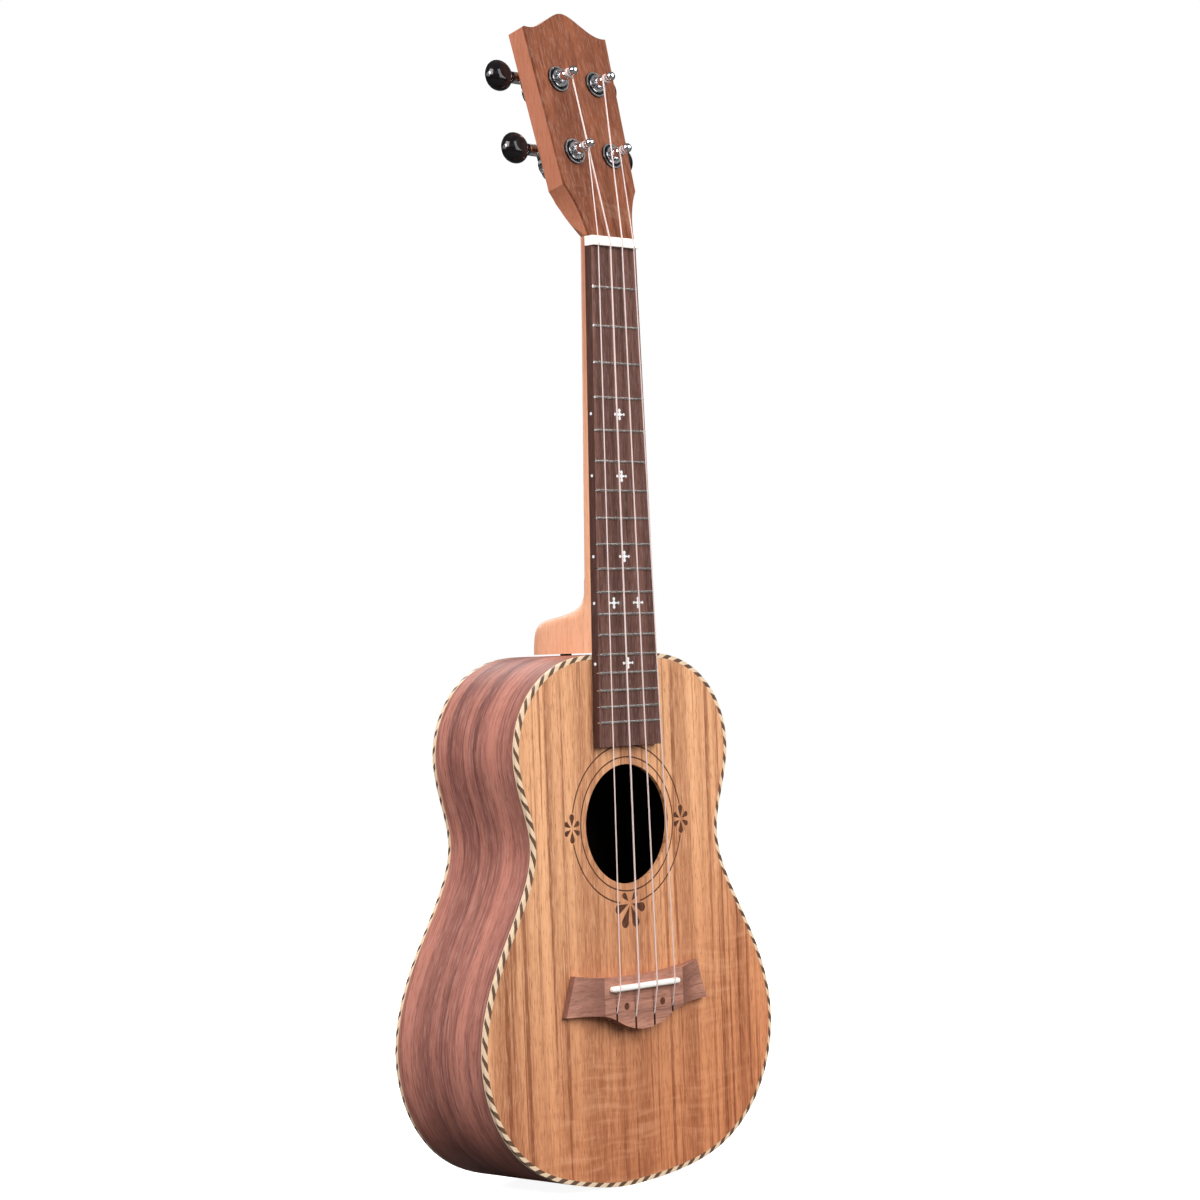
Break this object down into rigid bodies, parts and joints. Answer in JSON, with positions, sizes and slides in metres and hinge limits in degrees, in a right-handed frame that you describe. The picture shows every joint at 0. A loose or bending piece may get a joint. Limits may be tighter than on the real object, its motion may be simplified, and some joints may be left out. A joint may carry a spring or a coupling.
{
  "type": "ukulele",
  "caption": "Concert ukulele: hollow waisted wooden body with a round sound hole, fretted neck, nylon strings and geared tuners that turn.",
  "frame": {"origin": "on the neck's top plane where the fretboard side of the nut crosses the centre line, which is where a wall hanger's yoke carries the instrument", "axes": "+Z along the neck to the headstock, +Y from the soundboard into the body, +X to the treble side"},
  "size_m": [0.2168, 0.0783, 0.6108],
  "materials": {
    "top_wood": "satin",
    "rib_wood": "satin",
    "rope_binding": "satin",
    "neck_wood": "satin",
    "head_veneer": "satin",
    "board_wood": "satin",
    "bridge_wood": "satin",
    "inner_wood": "raw",
    "dark_inlay": "satin",
    "pearl": "polished",
    "bone": "polished",
    "fret_wire": "polished",
    "nylon": "smooth",
    "chrome": "polished",
    "screw_steel": "plain",
    "gear_brass": "machined",
    "black_button": "polished"
  },
  "bodies": {
    "instrument": {"back_binding": "rope_binding", "back_braces": "inner_wood", "back_centre_strip": "inner_wood", "back_lining": "inner_wood", "back_plate": "rib_wood", "bridge": "bridge_wood", "bridge_plate": "inner_wood", "bridge_plugs": "dark_inlay", "fret_markers": "pearl", "fretboard": "board_wood", "frets": "fret_wire", "front_binding": "rope_binding", "front_lining": "inner_wood", "headstock_veneer": "head_veneer", "housing_lower_left": "chrome", "housing_lower_right": "chrome", "housing_upper_left": "chrome", "housing_upper_right": "chrome", "neck": "neck_wood", "neck_block": "inner_wood", "neck_dowels": "inner_wood", "nut": "bone", "post_bushings": "chrome", "post_washers": "chrome", "rosette": "dark_inlay", "saddle": "bone", "side_dots": "pearl", "side_left": "rib_wood", "side_right": "rib_wood", "soundboard": "top_wood", "string_a": "nylon", "string_c": "nylon", "string_e": "nylon", "string_g": "nylon", "tail_block": "inner_wood", "top_braces": "inner_wood", "tuner_plates": "chrome", "tuner_screws": "screw_steel"},
    "button_shaft_upper_left": {"button_upper_left": "black_button", "worm_upper_left": "screw_steel", "button_screw_upper_left": "screw_steel"},
    "string_post_upper_left": {"post_upper_left": "chrome", "wheel_upper_left": "gear_brass"},
    "button_shaft_upper_right": {"button_upper_right": "black_button", "worm_upper_right": "screw_steel", "button_screw_upper_right": "screw_steel"},
    "string_post_upper_right": {"post_upper_right": "chrome", "wheel_upper_right": "gear_brass"},
    "button_shaft_lower_left": {"button_lower_left": "black_button", "worm_lower_left": "screw_steel", "button_screw_lower_left": "screw_steel"},
    "string_post_lower_left": {"post_lower_left": "chrome", "wheel_lower_left": "gear_brass"},
    "button_shaft_lower_right": {"button_lower_right": "black_button", "worm_lower_right": "screw_steel", "button_screw_lower_right": "screw_steel"},
    "string_post_lower_right": {"post_lower_right": "chrome", "wheel_lower_right": "gear_brass"}
  },
  "joints": [
    {"name": "turn_button_upper_left", "type": "hinge", "parent": "instrument", "child": "button_shaft_upper_left", "pos_m": [-0.014, 0.03597, 0.09108], "axis": [1, 0, 0], "continuous": true},
    {"name": "turn_post_upper_left", "type": "hinge", "parent": "instrument", "child": "string_post_upper_left", "pos_m": [-0.014, 0.03435, 0.08479], "axis": [0, 0.9686, -0.2487], "continuous": true},
    {"name": "turn_button_upper_right", "type": "hinge", "parent": "instrument", "child": "button_shaft_upper_right", "pos_m": [0.014, 0.03597, 0.09108], "axis": [1, 0, 0], "continuous": true},
    {"name": "turn_post_upper_right", "type": "hinge", "parent": "instrument", "child": "string_post_upper_right", "pos_m": [0.014, 0.03435, 0.08479], "axis": [0, 0.9686, -0.2487], "continuous": true},
    {"name": "turn_button_lower_left", "type": "hinge", "parent": "instrument", "child": "button_shaft_lower_left", "pos_m": [-0.014, 0.02594, 0.05205], "axis": [1, 0, 0], "continuous": true},
    {"name": "turn_post_lower_left", "type": "hinge", "parent": "instrument", "child": "string_post_lower_left", "pos_m": [-0.014, 0.02433, 0.04575], "axis": [0, 0.9686, -0.2487], "continuous": true},
    {"name": "turn_button_lower_right", "type": "hinge", "parent": "instrument", "child": "button_shaft_lower_right", "pos_m": [0.014, 0.02594, 0.05205], "axis": [1, 0, 0], "continuous": true},
    {"name": "turn_post_lower_right", "type": "hinge", "parent": "instrument", "child": "string_post_lower_right", "pos_m": [0.014, 0.02433, 0.04575], "axis": [0, 0.9686, -0.2487], "continuous": true}
  ],
  "couplings": [
    {"joint": "turn_post_upper_left", "follows": "turn_button_upper_left", "ratio": -0.0625},
    {"joint": "turn_post_upper_right", "follows": "turn_button_upper_right", "ratio": -0.0625},
    {"joint": "turn_post_lower_left", "follows": "turn_button_lower_left", "ratio": -0.0625},
    {"joint": "turn_post_lower_right", "follows": "turn_button_lower_right", "ratio": -0.0625}
  ]
}
